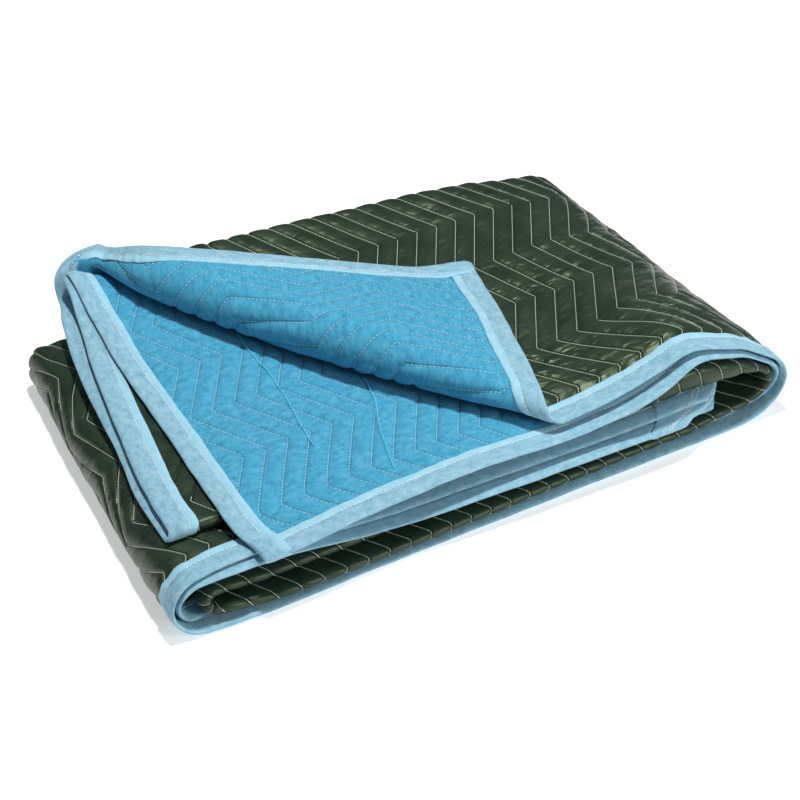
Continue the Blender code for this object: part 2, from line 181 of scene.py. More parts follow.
def smooth_curve(at, knots, values):
    """Read a smooth curve through a short table; values has a row for each knot."""
    knots = np.asarray(knots, float)
    values = np.asarray(values, float)
    at = np.clip(at, knots[0], knots[-1])
    left = np.clip(np.searchsorted(knots, at, side="right") - 1, 0, len(knots) - 2)
    step = np.diff(knots)
    column = np.arange(values.shape[1]) if values.ndim == 2 else None
    slope = np.diff(values, axis=0) / (step if values.ndim == 1 else step[:, None])
    tangent = np.zeros_like(values)
    tangent[1:-1] = 0.5 * (slope[1:] + slope[:-1])

    def pick(table, row):
        """The table's values at these rows."""
        return table[row] if column is None else table[row, column]

    t = (at - knots[left]) / step[left]
    return (
        (2 * t**3 - 3 * t**2 + 1) * pick(values, left)
        + (t**3 - 2 * t**2 + t) * step[left] * pick(tangent, left)
        + (3 * t**2 - 2 * t**3) * pick(values, left + 1)
        + (t**3 - t**2) * step[left] * pick(tangent, left + 1)
    )


def smooth_field(x, y, x_knots, rows):
    """Read a smooth surface through a table with a row for each y."""
    along_x = np.stack([smooth_curve(x, x_knots, row) for row in rows.values()])
    return smooth_curve(y, tuple(rows), along_x)


def smoothstep(value, start, end):
    """Rise from 0 to 1 between start and end."""
    t = np.clip((value - start) / (end - start), 0, 1)
    return t * t * (3 - 2 * t)


def bump_over(value, start, end):
    """Rise from 0 to 1 and fall back between start and end."""
    margin = 0.25 * (end - start)
    rising = smoothstep(value, start - margin, start + margin)
    return rising * (1 - smoothstep(value, end - margin, end + margin))


def top_lift(x, y, depth, share=1.0):
    """Lift of the top run, which its innermost layer partly loses near the front fold."""
    lift = smooth_field(x, y, LIFT_X, LIFT)
    sag = smoothstep(depth, LAYER_PITCH, 3 * LAYER_PITCH) * smoothstep(x, *FRONT_SAG_X)
    sag *= 1 - smoothstep(y, *FRONT_SAG_Y)
    return lift * (1 - FRONT_SAG * sag * share)


def middle_lift(x, y, depth):
    """Lift of the middle run, which its two inner layers don't share."""
    lift = smooth_field(x, y, MIDDLE_LIFT_X, MIDDLE_LIFT)
    return lift * (1 - smoothstep(depth, LAYER_PITCH, 2 * LAYER_PITCH))


def top_height(x, depth):
    """Height of the top run's layers in the tight stack, with the room under the outermost."""
    room = smooth_curve(x, TOP_ROOM["x"], TOP_ROOM["room"])
    return TOP_RUN_Z - depth + room * np.clip(1 - depth / LAYER_PITCH, 0, 1)


def fan_out(depth, y):
    """How far a layer sticks out beyond the outermost one at the end of the top run."""
    layer = np.clip(depth / LAYER_PITCH, 0, 3)
    reach = np.stack([smooth_curve(y, FAN["y"], FAN[f"layer_{number}"]) for number in (1, 2, 3, 4)])
    lower = np.minimum(layer.astype(int), 2)
    point = np.arange(len(layer))
    return reach[lower, point] + (layer - lower) * (reach[lower + 1, point] - reach[lower, point])


def strip_lines(length):
    """Side 1, side 2, the front fold, and the starts of the two back folds: distances from the front."""
    side_1, side_2, front, back = (
        smooth_curve(length, EDGES["length"], EDGES[key])
        for key in ("side_1", "side_2", "front_fold", "back_fold")
    )
    back_outer = back - 0.5 * fourth_depth(length)
    back_inner = back - BACK_FOLD_INSET - 0.5 * LAYER_PITCH
    return side_1, side_2, front, back_outer, back_inner


def fourth_depth(length):
    """Depth of the innermost layer under the outermost."""
    return 3 * LAYER_PITCH + END_ROOM * (1 - smoothstep(length, 0, 5))


def section_widths(length):
    """Width of each section of the cloth, with a last axis of seven sections."""
    side_1, side_2, _, back_outer, back_inner = strip_lines(length)
    outermost, innermost = back_outer - side_1, back_inner - side_2
    loop, inner_loop = np.full_like(side_1, BACK_LOOP), np.full_like(side_1, INNER_LOOP)
    middle = 0.5 * (CLOTH_WIDTH - outermost - innermost - BACK_LOOP - 2 * INNER_LOOP)
    return np.stack([outermost, loop, middle, inner_loop, middle, inner_loop, innermost], axis=-1)


def cross_section(length, section, fraction):
    """Distance from the front and depth under the outermost layer, for points of the width."""
    side_1, side_2, front, back_outer, back_inner = strip_lines(length)
    pitch = LAYER_PITCH
    fourth = fourth_depth(length)
    outer, inner = 0.5 * fourth, 0.5 * pitch
    turn = np.pi * fraction
    front_in = front + FRONT_FOLD_RADIUS
    y = np.stack([
        side_1 + fraction * (back_outer - side_1),
        back_outer + outer * np.sin(turn),
        back_outer - fraction * (back_outer - front_in),
        front_in - FRONT_FOLD_RADIUS * np.sin(turn),
        front_in + fraction * (back_inner - front_in),
        back_inner + inner * np.sin(turn),
        back_inner - fraction * (back_inner - side_2),
    ])
    depth = np.stack([
        0 * fraction,
        outer - outer * np.cos(turn),
        fourth,
        0.5 * (2 * pitch + fourth) + 0.5 * (fourth - 2 * pitch) * np.cos(turn),
        2 * pitch + 0 * fraction,
        1.5 * pitch + inner * np.cos(turn),
        pitch + 0 * fraction,
    ])
    point = np.arange(len(length))
    return y[section, point], depth[section, point]


def roll_over(beyond, radius, slope):
    """Profile of the peeled corner: where a point goes that lies this far beyond the fold line."""
    full = np.pi + slope
    landing = ROLL_LANDING * (1 - np.cos(slope))
    drop = np.maximum(radius * (1 + np.cos(slope)) - landing - FLAP_CLEARANCE, 0)
    straight = drop / np.sin(slope)
    on_roll = np.clip(beyond / radius, 0, full)
    past = np.maximum(beyond - radius * full, 0)
    on_straight = np.minimum(past, straight)
    on_landing = np.clip((past - straight) / ROLL_LANDING, 0, slope)
    flat = np.maximum(past - straight - ROLL_LANDING * slope, 0)
    out = radius * np.sin(on_roll) - on_straight * np.cos(slope)
    out -= ROLL_LANDING * (np.sin(slope) - np.sin(slope - on_landing)) + flat
    up = radius * (1 - np.cos(on_roll)) - on_straight * np.sin(slope)
    up -= ROLL_LANDING * (np.cos(slope - on_landing) - np.cos(slope))
    return out, up


def peel_back(x, y, depth, section, fraction):
    """Places in the top run, with the corner of the outermost quarter rolled back."""
    start, end = (np.array(corner) for corner in FOLD_LINE)
    along_line = (end - start) / np.linalg.norm(end - start)
    outward = np.array([along_line[1], -along_line[0]])
    rel_x, rel_y = x - start[0], y - start[1]
    along = rel_x * along_line[0] + rel_y * along_line[1]
    beyond = rel_x * outward[0] + rel_y * outward[1]
    share = np.select([section == QUARTER_1, section == BACK_OUTER], [1.0, (1 - fraction) ** 2], 0.0)
    beyond = np.maximum(beyond * share, 0)
    radius = smooth_curve(along, ROLL["along"], ROLL["radius"])
    slope = smooth_curve(along, ROLL["along"], ROLL["slope"])
    out, up = roll_over(beyond, radius, slope)
    x = x - outward[0] * (beyond - out)
    y = y - outward[1] * (beyond - out)
    return x, y, top_height(x, depth) + top_lift(x, y, depth) + up


def fold(length, section, fraction):
    """Folded place, in inches, of points of the cloth; all three are flat arrays."""
    y, depth = cross_section(length, section, fraction)
    back = strip_lines(length)[3]
    loop = (1 - fraction) * fan_out(0 * depth, back) + fraction * fan_out(fourth_depth(length), back)
    fan = np.where(section == BACK_OUTER, loop, fan_out(depth, y))
    rise = EDGE_RISE * (1 - smoothstep(section + fraction, 1 / QUARTER_WIDTH, 2.4 / QUARTER_WIDTH))
    lower = FLOOR_LAYER_Z + depth + rise

    # top run
    reach = RIGHT_TURN_X - TOP_END_X + fan
    x = RIGHT_TURN_X - reach * (1 - length / RIGHT_TURN[0])
    x, back_y, z = peel_back(x, y, depth, section, fraction)
    droop = (1 - smoothstep(x, *DROOP["x"])) * (1 - smoothstep(y, *DROOP["y"])) * (section == QUARTER_4)
    perk = (1 - smoothstep(x, *PERK["x"])) * smoothstep(y, *PERK["y"]) * (section >= QUARTER_3)
    z = z - DROOP["drop"] * droop + PERK["rise"] * perk
    start, end = SWELL["across"]
    past_back = np.where(section == QUARTER_1, (fraction - 1) * QUARTER_WIDTH / BACK_LOOP, fraction)
    swell = np.sin(np.pi * np.clip((past_back - start) / (end - start), 0, 1)) ** 2
    swell *= (section <= BACK_OUTER) * (1 - smoothstep(length, *SWELL["s"]))
    top = (x - SWELL["out"] * swell, back_y, z + SWELL["up"] * swell)

    # right turn, an upright half ellipse that carries its share of the lift
    angle = np.pi * np.clip((length - RIGHT_TURN[0]) / (RIGHT_TURN[1] - RIGHT_TURN[0]), 0, 1)
    reach = smooth_curve(y, TURN_REACH["y"], TURN_REACH["right"]) - depth
    upper = top_height(np.full_like(y, RIGHT_TURN_X), depth)
    x = RIGHT_TURN_X + reach * np.sin(angle)
    z = 0.5 * (upper + lower) + 0.5 * (upper - lower) * np.cos(angle)
    right = (x, y, z + top_lift(x, y, depth, np.maximum(np.cos(angle), 0)) * np.cos(0.5 * angle) ** 2)

    # bottom run
    across = (length - RIGHT_TURN[1]) / (LEFT_TURN[0] - RIGHT_TURN[1])
    deep = smoothstep(depth, LAYER_PITCH, 2 * LAYER_PITCH)
    left_x = LEFT_TURN_X + EARLY_TURN["by"] * deep * (1 - smoothstep(y, *EARLY_TURN["y"]))
    inner = deep * (1 - smoothstep(y, *SETTLE["y"]))
    near_turns = np.minimum(length - RIGHT_TURN[1], LEFT_TURN[0] - length)
    settled = lower - SETTLE["bottom"] * inner * smoothstep(near_turns, 0, SETTLE["fade"])
    bottom = (RIGHT_TURN_X - across * (RIGHT_TURN_X - left_x), y, settled)

    # left turn
    angle = np.pi * np.clip((length - LEFT_TURN[0]) / (LEFT_TURN[1] - LEFT_TURN[0]), 0, 1)
    upper = MIDDLE_RUN_Z - depth
    reach = smooth_curve(y, TURN_REACH["y"], TURN_REACH["left"])
    x = left_x - reach * (upper - lower) / (MIDDLE_RUN_Z - FLOOR_LAYER_Z) * np.sin(angle)
    z = 0.5 * (upper + lower) - 0.5 * (upper - lower) * np.cos(angle)
    edge_lift = middle_lift(np.full_like(y, LEFT_TURN_X), y, depth)
    left = (x, y, z + edge_lift * np.sin(0.5 * angle) ** 2)

    # middle run
    along = (length - LEFT_TURN[1]) / (CLOTH_LENGTH - LEFT_TURN[1])
    x = left_x + along * (MIDDLE_END_X - left_x)
    askew = smoothstep(length, *SKEW["s"])
    x = x + askew * smooth_curve(y, SKEW["y"], SKEW["out"])
    up = askew * smooth_curve(y, SKEW["y"], SKEW["up"])
    settle = SETTLE["middle"] * inner * smoothstep(length, LEFT_TURN[1], LEFT_TURN[1] + SETTLE["fade"])
    middle = (x, y, MIDDLE_RUN_Z - depth + middle_lift(x, y, depth) + up - settle)

    run = [length < bound for bound in (*RIGHT_TURN, *LEFT_TURN)]
    parts = zip(top, right, bottom, left, middle)
    return np.stack([np.select(run, part[:4], part[4]) for part in parts], axis=-1)


def value_noise(x, y, seed):
    """Smooth noise from -1 to 1 over a lattice of unit squares."""
    lattice = np.random.default_rng(seed).uniform(-1, 1, (64, 64))
    x0, y0 = np.floor(x).astype(int), np.floor(y).astype(int)
    u, v = x - x0, y - y0
    u, v = u * u * (3 - 2 * u), v * v * (3 - 2 * v)
    a, b = lattice[x0 % 64, y0 % 64], lattice[(x0 + 1) % 64, y0 % 64]
    c, d = lattice[x0 % 64, (y0 + 1) % 64], lattice[(x0 + 1) % 64, (y0 + 1) % 64]
    return (a * (1 - u) + b * u) * (1 - v) + (c * (1 - u) + d * u) * v


def zigzag(w):
    """How far a seam is pushed along the blanket at this place in its width."""
    turn = np.interp(w, ZIG_TURNS["w"], ZIG_TURNS["turn"])
    return ZIG_DEPTH * np.abs(1 - (turn - 1) % 2) + np.interp(w, SEAM_DRIFT["w"], SEAM_DRIFT["s"])


def seam_number(s, w):
    """Which seam, and how far to the next, at a place on the flat cloth."""
    start = s - zigzag(w)
    return (start + SEAM_SLACK * smoothstep(start, 33, 47)) / SEAM_PITCH


def seam_start(number):
    """Place along the blanket of a seam, before the zigzag."""
    start = number * SEAM_PITCH
    return start - SEAM_SLACK * smoothstep(start, 33, 47)


def folded(s, w):
    """Folded places, in inches, of points of the flat cloth."""
    shape = np.broadcast(s, w).shape
    s, w = (np.broadcast_to(part, shape).ravel().astype(float) for part in (s, w))
    widths = section_widths(s)
    ends = np.cumsum(widths, axis=1)
    section = np.sum(w[:, None] > ends[:, :6], axis=1)
    point = np.arange(len(s))
    fraction = 1 - (ends[point, section] - w) / widths[point, section]
    return fold(s, section, fraction).reshape(*shape, 3)


def width_at(s, row):
    """Place across the flat cloth of a row, counted in sections and fractions of a section."""
    section = np.minimum(np.floor(row), 6).astype(int)
    widths = section_widths(np.ravel(s)).reshape(*np.shape(s), 7)
    ends = np.cumsum(widths, axis=-1)
    pick = section[..., None]
    end, width = (np.take_along_axis(part, pick, axis=-1)[..., 0] for part in (ends, widths))
    return np.clip(end - (section + 1 - row) * width, 0, CLOTH_WIDTH)


def surface(s, w):
    """Places and normals of the middle of the cloth; the normals point out of the green face."""
    s, w = np.broadcast_arrays(np.asarray(s, float), np.asarray(w, float))
    points = folded(s, w)
    low_s, high_s = (np.clip(s + way, 0, CLOTH_LENGTH) for way in (-SLOPE_STEP, SLOPE_STEP))
    low_w, high_w = (np.clip(w + way, 0, CLOTH_WIDTH) for way in (-SLOPE_STEP, SLOPE_STEP))
    normals = np.cross(folded(high_s, w) - folded(low_s, w), folded(s, high_w) - folded(s, low_w))
    normals /= np.linalg.norm(normals, axis=-1, keepdims=True)
    return points, normals


def to_metres(points):
    """From inches about the strip's front left corner to metres about the frame's origin."""
    return (points - np.array([*FRAME_CENTRE, 0])) * INCH


def puff_height(s, w, face):
    """How far a face stands off the middle of the cloth; in the right turn both faces crumple together."""
    across = seam_number(s, w) % 1.0
    pillow = np.clip(4 * across * (1 - across), 0, 1) ** 0.5
    fullness = 1 + 0.25 * value_noise(s * 0.9, w * 0.35, 3) + 0.15 * value_noise(s * 3, w * 1.7, 5)
    crumple = (0.012 + 0.008 * (face == "green")) * value_noise(s * 1.9, w * 2.3, 7) * pillow
    from_edge = np.minimum(np.minimum(s, CLOTH_LENGTH - s), np.minimum(w, CLOTH_WIDTH - w))
    free = smoothstep(from_edge, TAPE_REACH - 0.1, TAPE_REACH + 0.5)
    free = free * (1 - PRESSED["share"] * bump_over(w, *PRESSED["w"]))
    in_turn = bump_over(s, *CRUMPLE["s"]) * bump_over(w, *CRUMPLE["w"])
    crushed = 0.07 * value_noise(s * 1.3, w * 1.1, 11) + 0.03 * value_noise(s * 2.6, w * 2.2, 13)
    crumple = crumple + in_turn * crushed * (1 if face == "green" else -1)
    return SEAM_HALF_THICKNESS + free * (PUFF[face] * pillow * fullness + crumple)


def spread(start, *spans):
    """Places along a line from its start, by (end, count) spans."""
    parts = []
    for end, count in spans:
        parts.append(np.linspace(start, end, count, endpoint=False))
        start = end
    return np.append(np.concatenate(parts), start)


def placed(name, data):
    """An object in the scene."""
    thing = bpy.data.objects.new(name, data)
    bpy.context.scene.collection.objects.link(thing)
    return thing


def mesh_from_grid(name, points, maps, flip, material):
    """A mesh of squares between rows of points, with UV maps given point by point."""
    columns, rows = points.shape[:2]
    corner = np.arange(columns * rows).reshape(columns, rows)
    faces = np.stack([corner[:-1, :-1], corner[1:, :-1], corner[1:, 1:], corner[:-1, 1:]], axis=-1)
    faces = faces.reshape(-1, 4)
    if flip:
        faces = faces[:, ::-1]
    mesh = bpy.data.meshes.new(name)
    places = to_metres(points).reshape(-1, 3)
    places[:, 2] = np.maximum(places[:, 2], 0)
    mesh.from_pydata(places.tolist(), [], faces.tolist())
    for map_name, coords in maps.items():
        layer = mesh.uv_layers.new(name=map_name)
        layer.data.foreach_set("uv", coords.reshape(-1, 2)[faces.ravel()].astype(np.float32).ravel())
    mesh.shade_smooth()
    mesh.materials.append(material)
    mesh.update()
    return placed(name, mesh)


def cloth_rows():
    """Rows across the blanket, in sections; fewer in the two hidden quarters."""
    return spread(
        QUARTER_1,
        (QUARTER_1 + 0.055, 4),
        (BACK_OUTER, 70),
        (QUARTER_2, 12),
        (QUARTER_2 + 0.15, 8),
        (QUARTER_2 + 0.6, 7),
        (FRONT_FOLD, 28),
        (QUARTER_3, 10),
        (QUARTER_3 + 0.25, 14),
        (QUARTER_3 + 0.85, 9),
        (BACK_INNER, 8),
        (QUARTER_4, 8),
        (QUARTER_4 + 0.945, 66),
        (QUARTER_4 + 1, 4),
    )


def cloth_grid():
    """The quilting's grid: columns along the zigzag seams, fewer where the cloth is inside the stack."""
    columns = spread(-4, (1, 25), (22, 126), (29, 49), (47, 54), (57, 70), (62, 30), (80, 36))
    rows = cloth_rows()
    column = seam_start(np.repeat(columns[:, None], len(rows), axis=1))
    s = np.clip(column, 0, CLOTH_LENGTH)
    for _ in range(4):
        w = width_at(s, np.broadcast_to(rows, s.shape))
        s = np.maximum(column + zigzag(w), 0.02 * (column - column[0]))
        s = np.minimum(s, CLOTH_LENGTH - 0.02 * (column[-1] - column))
    return s, w


def quilted_faces(materials):
    """The green face and the blue backing, each bulging between the seams."""
    s, w = cloth_grid()
    points, normals = surface(s, w)
    maps = {
        "cloth": np.stack([s * INCH, w * INCH], axis=-1),
        "channel": np.stack([seam_number(s, w), w], axis=-1),
    }
    faces = []
    for face, side in (("green", 1), ("blue", -1)):
        bulging = points + side * puff_height(s, w, face)[..., None] * normals
        faces.append(mesh_from_grid(face + "_face", bulging, maps, side < 0, materials[face]))
    return faces


# The binding: half its profile, from its hem on the cloth to its nose beyond the edge
TAPE_INSET = np.array((TAPE_HEM, 1.04, 1.01, 0.93, 0.80, 0.75, TOPSTITCH_INSET,
                       0.66, 0.55, 0.35, 0.15, 0.02, -0.05, -0.075))
TAPE_HEIGHT = np.array((0.035, 0.080, 0.094, 0.104, 0.100, 0.084, 0.068,
                        0.086, 0.100, 0.102, 0.096, 0.078, 0.042, 0.0))

# Side tapes end under the tails of the end tapes, tacked down by two rows of stitches
TAPE_TAIL = 2.7
TACKS = (78.9, 79.15)


def tape_profile(along, edge, gathered, lap, seed):
    """Points round a binding tape. edge gives s and w from a place along it and an inset from the edge."""
    inset = TAPE_INSET
    hem_wander = 0.03 * value_noise(along * 0.8, 0 * along, seed)
    hem_wander = hem_wander + 0.015 * value_noise(along * 3.1, 0 * along, seed + 1)
    edge_wander = 0.018 * value_noise(along * 1.3, 0 * along + 9, seed)
    reach = inset + hem_wander[:, None] * np.clip(inset / 0.9, 0, 1) + edge_wander[:, None]
    on_cloth = np.maximum(reach, 0)
    s, w = edge(along[:, None] + 0 * reach, on_cloth)
    points, normals = surface(s, w)
    outward = points[:, -1] - folded(*edge(along, np.full_like(along, 0.1)))
    outward /= np.linalg.norm(outward, axis=1, keepdims=True)
    points = points + np.maximum(-reach, 0)[..., None] * outward[:, None, :]
    place = along[:, None]
    pillow = value_noise(place * 2.3, inset[None, :] * 3, seed + 2) * np.clip(inset, 0, 1)
    puckers = value_noise(place * 7.5, inset[None, :] * 1.5, seed + 3)
    puckers = puckers * np.exp(-((inset - 0.8) / 0.2) ** 2)
    pleats = gathered(along)[:, None] * value_noise(place * 4.3, inset[None, :], seed + 4)
    uneven = 0.014 * pillow + 0.014 * puckers + 0.06 * pleats * np.clip(inset * 2.5, 0, 1)
    lift = TAPE_HEIGHT + np.where(TAPE_HEIGHT > 0.04, uneven, 0)
    lift = lift + lap(along)[:, None] * (TAPE_HEIGHT > 0)
    lift[[0, -1]] = 0
    upper = points + lift[..., None] * normals
    lower = points - lift[..., None] * normals
    return np.concatenate([upper, lower[:, -2::-1]], axis=1)


def tape_mesh(name, along, profile, material):
    """A binding tape, with a map of its flat length and width."""
    across = np.concatenate([TAPE_HEM - TAPE_INSET, TAPE_HEM + TAPE_INSET[-2::-1]])
    flat = np.broadcast_arrays(along[:, None] * INCH, across[None, :] * INCH)
    return mesh_from_grid(name, profile, {"cloth": np.stack(flat, axis=-1)}, True, material)


def bindings(material):
    """The four tapes; the end tapes lap over the side tapes at the corners."""
    side_along = spread(0.05, (30, 300), (49, 110), (62, 130), (77, 100), (79.95, 60))
    rows = cloth_rows()

    def lap(w):
        """How much higher an end tape lies where it laps over the side tapes."""
        return 0.045 * (1 - smoothstep(np.minimum(w, CLOTH_WIDTH - w), 0.95, 1.2))

    def tail(s):
        """How much higher a side tape lies over its tail."""
        return 0.05 * smoothstep(s, CLOTH_LENGTH - TAPE_TAIL, CLOTH_LENGTH - TAPE_TAIL + 0.12)

    def end_along(length):
        """Places along an end tape, on the rows of the cloth and closer at the back fold."""
        along = width_at(np.full(len(rows), length), rows)
        along = np.unique(np.concatenate([along, [-0.03, 0.5, 71.5, 72.03], np.arange(15, 20.5, 0.07)]))
        return along[(along < 0) | (along > 0.05)]

    def side_gathers(s):
        """How gathered a side tape is: in the two turns."""
        return sum(bump_over(s, *turn) for turn in (RIGHT_TURN, LEFT_TURN))

    def end_gathers(w):
        """How gathered an end tape is: round the outer back fold."""
        return 0.5 * bump_over(w, 14.8, 17.2) + 1.6 * bump_over(w, 17.2, 19.8)

    edges = {
        "side_binding_1": (side_along, lambda a, inset: (a, inset), tail),
        "side_binding_2": (side_along, lambda a, inset: (a, CLOTH_WIDTH - inset), tail),
        "end_binding_1": (end_along(0.0), lambda a, inset: (inset, np.clip(a, 0, CLOTH_WIDTH)), lap),
        "end_binding_2": (
            end_along(CLOTH_LENGTH),
            lambda a, inset: (CLOTH_LENGTH - inset, np.clip(a, 0, CLOTH_WIDTH)),
            lap,
        ),
    }
    tapes = {}
    tacks = []
    for number, (name, (along, edge, overlap)) in enumerate(edges.items()):
        side = "side" in name
        profile = tape_profile(along, edge, side_gathers if side else end_gathers, overlap, 20 + 5 * number)
        tapes[name] = tape_mesh(name + "_tape", along, profile, material)
        if side:
            middle = folded(*edge(along, np.full_like(along, 0.5)))[:, None, :]
            outward = (profile - middle) / np.linalg.norm(profile - middle, axis=2, keepdims=True)
            raised = profile + 0.03 * outward
            tacks += [raised[np.argmin(np.abs(along - place)), 1:-1] for place in TACKS]
    return tapes, tacks


def stitch_tree():
    """Rows of stitches: short threads laid end to end along the lines of a mesh."""
    tree = bpy.data.node_groups.new("stitch_rows", "GeometryNodeTree")
    tree.interface.new_socket("Seam lines", in_out="INPUT", socket_type="NodeSocketGeometry")
    for label, default in (("Pitch", 0.0045), ("Stitch length", 0.0035), ("Thread radius", 0.0004)):
        socket = tree.interface.new_socket(label, in_out="INPUT", socket_type="NodeSocketFloat")
        socket.default_value = default
    tree.interface.new_socket("Thread", in_out="INPUT", socket_type="NodeSocketMaterial")
    tree.interface.new_socket("Stitches", in_out="OUTPUT", socket_type="NodeSocketGeometry")
    nodes = tree.nodes
    given, made = nodes.new("NodeGroupInput"), nodes.new("NodeGroupOutput")
    curve = nodes.new("GeometryNodeMeshToCurve")
    spaced = nodes.new("GeometryNodeResampleCurve")
    spaced.mode = "LENGTH"
    stitch = nodes.new("GeometryNodeMeshCylinder")
    stitch.fill_type = "NGON"
    stitch.inputs["Vertices"].default_value = 5
    tangent = nodes.new("GeometryNodeInputTangent")
    turned = nodes.new("FunctionNodeAlignRotationToVector")
    turned.axis = "Z"
    laid = nodes.new("GeometryNodeInstanceOnPoints")
    real = nodes.new("GeometryNodeRealizeInstances")
    finish = nodes.new("GeometryNodeSetMaterial")
    wires = (
        (given, "Seam lines", curve, "Mesh"),
        (curve, "Curve", spaced, "Curve"),
        (given, "Pitch", spaced, "Length"),
        (given, "Stitch length", stitch, "Depth"),
        (given, "Thread radius", stitch, "Radius"),
        (tangent, "Tangent", turned, "Vector"),
        (spaced, "Curve", laid, "Points"),
        (stitch, "Mesh", laid, "Instance"),
        (turned, "Rotation", laid, "Rotation"),
        (laid, "Instances", real, "Geometry"),
        (real, "Geometry", finish, "Geometry"),
        (given, "Thread", finish, "Material"),
        (finish, "Geometry", made, "Stitches"),
    )
    for source, result, target, socket in wires:
        tree.links.new(source.outputs[result], target.inputs[socket])
    return tree


def stitched(name, lines, tree, thread, pitch, length, radius):
    """The stitches along lines of points, as one mesh."""
    mesh = bpy.data.meshes.new(name + "_lines")
    edges = []
    start = 0
    for line in lines:
        edges += [(k, k + 1) for k in range(start, start + len(line) - 1)]
        start += len(line)
    mesh.from_pydata(to_metres(np.concatenate(lines)).tolist(), edges, [])
    guide = placed(name + "_guide", mesh)
    modifier = guide.modifiers.new("stitches", "NODES")
    modifier.node_group = tree
    given = {
        "Pitch": pitch * INCH,
        "Stitch length": length * INCH,
        "Thread radius": radius * INCH,
        "Thread": thread,
    }
    for item in tree.interface.items_tree:
        if item.in_out == "INPUT" and item.name in given:
            modifier[item.identifier] = given[item.name]
    depsgraph = bpy.context.evaluated_depsgraph_get()
    result = bpy.data.meshes.new_from_object(guide.evaluated_get(depsgraph))
    result.name = name
    bpy.data.objects.remove(guide, do_unlink=True)
    return placed(name, result)


# Where quilting seams show on each face: from one length to another, and from one width to another
SEAM_PATCHES = {
    "green": ((1, 30, 1, 18), (49, 62, 1, 18), (1, 79, 18, 21), (1, 79, 33.5, 37.5), (1, 79, 52, 54.5)),
    "blue": ((1, 17, 1, 18), (1, 22, 53.6, 71)),
}


def seam_lines(face):
    """The quilting seams that show on a face, as lines of points just proud of the cloth."""
    side = 1 if face == "green" else -1
    lines = []
    for s_low, s_high, w_low, w_high in SEAM_PATCHES[face]:
        w = np.arange(w_low, w_high + 0.01, 0.1)
        for seam in range(math.floor(s_low - ZIG_DEPTH) - 1, math.ceil(s_high) + 1):
            s = seam_start(seam) + zigzag(w)
            inside = (s > s_low) & (s < s_high)
            change = np.diff(np.concatenate([[0], inside.astype(int), [0]]))
            for start, end in zip(np.flatnonzero(change == 1), np.flatnonzero(change == -1)):
                if end - start < 3:
                    continue
                points, normals = surface(s[start:end], w[start:end])
                height = puff_height(s[start:end], w[start:end], face) + SEAM_LIFT
                lines.append(points + side * height[:, None] * normals)
    return lines


def topstitch_lines():
    """The stitch line that holds each tape down, on both faces of the cloth."""
    s, w = np.arange(0.1, CLOTH_LENGTH, 0.1), np.arange(0.1, CLOTH_WIDTH, 0.1)
    inset = TOPSTITCH_INSET
    lines = []
    for place in ((s, inset), (s, CLOTH_WIDTH - inset), (inset, w), (CLOTH_LENGTH - inset, w)):
        points, normals = surface(*place)
        lines += [points + side * TOPSTITCH_LIFT * normals for side in (1, -1)]
    return lines


# Loose threads lying on the backing near its end: places on the flat cloth
LOOSE_THREADS = (
    ((5.26, 59.25), (5.21, 60.41), (5.27, 62.36), (5.14, 64.3), (5.0, 65.5), (4.9, 66.4), (4.82, 67.5)),
    ((8.64, 64.54), (8.49, 65.41), (8.24, 66.36), (7.82, 67.36), (7.47, 68.37), (7.18, 69.39),
     (6.88, 70.37)),
)


def loose_lines():
    """The loose threads, as smooth lines of points on the backing."""
    lines = []
    for places in LOOSE_THREADS:
        knots = np.arange(len(places))
        s, w = (smooth_curve(np.linspace(0, knots[-1], 90), knots, part) for part in np.array(places).T)
        points, normals = surface(s, w)
        lines.append(points - (puff_height(s, w, "blue") + 0.03)[:, None] * normals)
    return lines


# Materials

def noise(tree, vector, scale, detail, roughness):
    """A noise texture read at a vector."""
    texture = tree.nodes.new("ShaderNodeTexNoise")
    texture.inputs["Scale"].default_value = scale
    texture.inputs["Detail"].default_value = detail
    texture.inputs["Roughness"].default_value = roughness
    tree.links.new(vector, texture.inputs["Vector"])
    return texture.outputs["Fac"]


def stretched_noise(tree, vector, stretch, detail, roughness):
    """Noise read at a vector that is scaled by a different amount each way."""
    mapping = tree.nodes.new("ShaderNodeMapping")
    mapping.inputs["Scale"].default_value = stretch
    tree.links.new(vector, mapping.inputs["Vector"])
    return noise(tree, mapping.outputs["Vector"], 1.0, detail, roughness)


def joined(tree, operation, first, second=0.0):
    """Two values joined by a maths operation."""
    node = tree.nodes.new("ShaderNodeMath")
    node.operation = operation
    for socket, value in zip(node.inputs, (first, second)):
        if isinstance(value, (int, float)):
            socket.default_value = value
        else:
            tree.links.new(value, socket)
    return node.outputs["Value"]


def weighted(tree, first, second):
    """The sum of two values, each given with its share."""
    terms = []
    for value, share in (first, second):
        terms.append(value if share == 1 else joined(tree, "MULTIPLY", value, share))
    return joined(tree, "ADD", *terms)


def part_of(tree, vector, axis):
    """One part of a vector."""
    parts = tree.nodes.new("ShaderNodeSeparateXYZ")
    tree.links.new(vector, parts.inputs["Vector"])
    return parts.outputs[axis]


def distance_from(tree, value, middle):
    """How far a value is from a middle one, either way."""
    return joined(tree, "ABSOLUTE", joined(tree, "SUBTRACT", value, middle))


def eased(tree, value, span, ends, interpolation="SMOOTHSTEP"):
    """A value taken from one span to another, and held at its ends."""
    node = tree.nodes.new("ShaderNodeMapRange")
    node.interpolation_type = interpolation
    for label, number in zip(("From Min", "From Max", "To Min", "To Max"), (*span, *ends)):
        node.inputs[label].default_value = number
    tree.links.new(value, node.inputs["Value"])
    return node.outputs["Result"]


